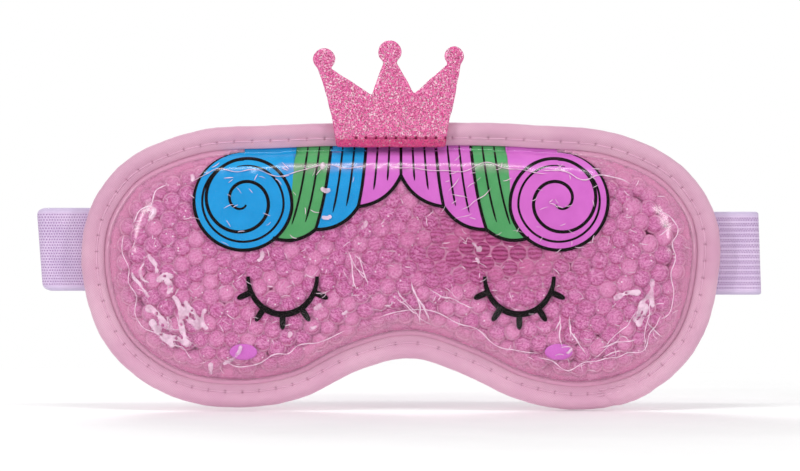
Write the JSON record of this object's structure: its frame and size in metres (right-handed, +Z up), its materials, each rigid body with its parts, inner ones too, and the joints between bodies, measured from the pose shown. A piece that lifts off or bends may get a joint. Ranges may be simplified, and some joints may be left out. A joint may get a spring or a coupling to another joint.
{
  "type": "gel bead eye mask",
  "caption": "Kids' hot or cold gel-bead eye mask: clear bead pack with a bound edge, crown on top and an elastic head strap with a hook-and-loop closure behind.",
  "frame": {"origin": "middle of the flat cloth face that rests on the wearer's eyes, halfway up the mask body", "axes": "+X to the right seen from the front, +Y out of the cloth back towards the wearer, +Z up; the printed front faces -Y"},
  "size_m": [0.2224, 0.0234, 0.113],
  "materials": {
    "clear_film": "gloss",
    "back_film": "gloss",
    "gel_beads": "gloss",
    "pink_cloth": "matte",
    "binding_tape": "matte",
    "pink_thread": "matte",
    "crown_glitter": "satin",
    "crown_felt": "matte",
    "crown_cotton": "matte",
    "lilac_elastic": "matte",
    "lilac_thread": "matte",
    "hook_tape": "satin",
    "loop_tape": "matte"
  },
  "bodies": {
    "pad": {"front_film": "clear_film", "back_film": "back_film", "bead_fill": "gel_beads", "back_panel": "pink_cloth", "edge_binding": "binding_tape", "binding_needle_thread": "pink_thread", "binding_bobbin_thread": "pink_thread", "strap_left_tab": "lilac_elastic", "strap_left_tack": "lilac_thread", "strap_right_tab": "lilac_elastic", "strap_right_tack": "lilac_thread"},
    "crown": {"crown_face": "crown_glitter", "crown_backing": "crown_felt", "crown_thread": "crown_cotton"},
    "strap_left": {"strap_left_band": "lilac_elastic", "hook_tab_thread": "lilac_thread"},
    "closure": {"hook_tab": "hook_tape"},
    "strap_right": {"strap_right_band": "lilac_elastic", "loop_patch": "loop_tape", "loop_patch_thread": "lilac_thread"}
  },
  "joints": [
    {"name": "strap_left_swing", "type": "hinge", "parent": "pad", "child": "strap_left", "pos_m": [-0.108, 0.003, 0.0052], "axis": [0, 0, 1], "range_deg": [0, 180], "deforming": ["strap_left_tab"]},
    {"name": "strap_right_swing", "type": "hinge", "parent": "pad", "child": "strap_right", "pos_m": [0.108, 0.003, 0.004], "axis": [0, 0, -1], "range_deg": [0, 180], "deforming": ["strap_right_tab"]},
    {"name": "closure_peel", "type": "hinge", "parent": "strap_left", "child": "closure", "pos_m": [0.0203, 0.0098, 0.0052], "axis": [0, 0, 1], "range_deg": [0, 150]},
    {"name": "crown_tip", "type": "hinge", "parent": "pad", "child": "crown", "pos_m": [0, -0.0062, 0.0365], "axis": [1, 0, 0], "range_deg": [0, 80]}
  ],
  "couplings": [
    {"joint": "strap_right_swing", "follows": "strap_left_swing", "ratio": 1}
  ]
}
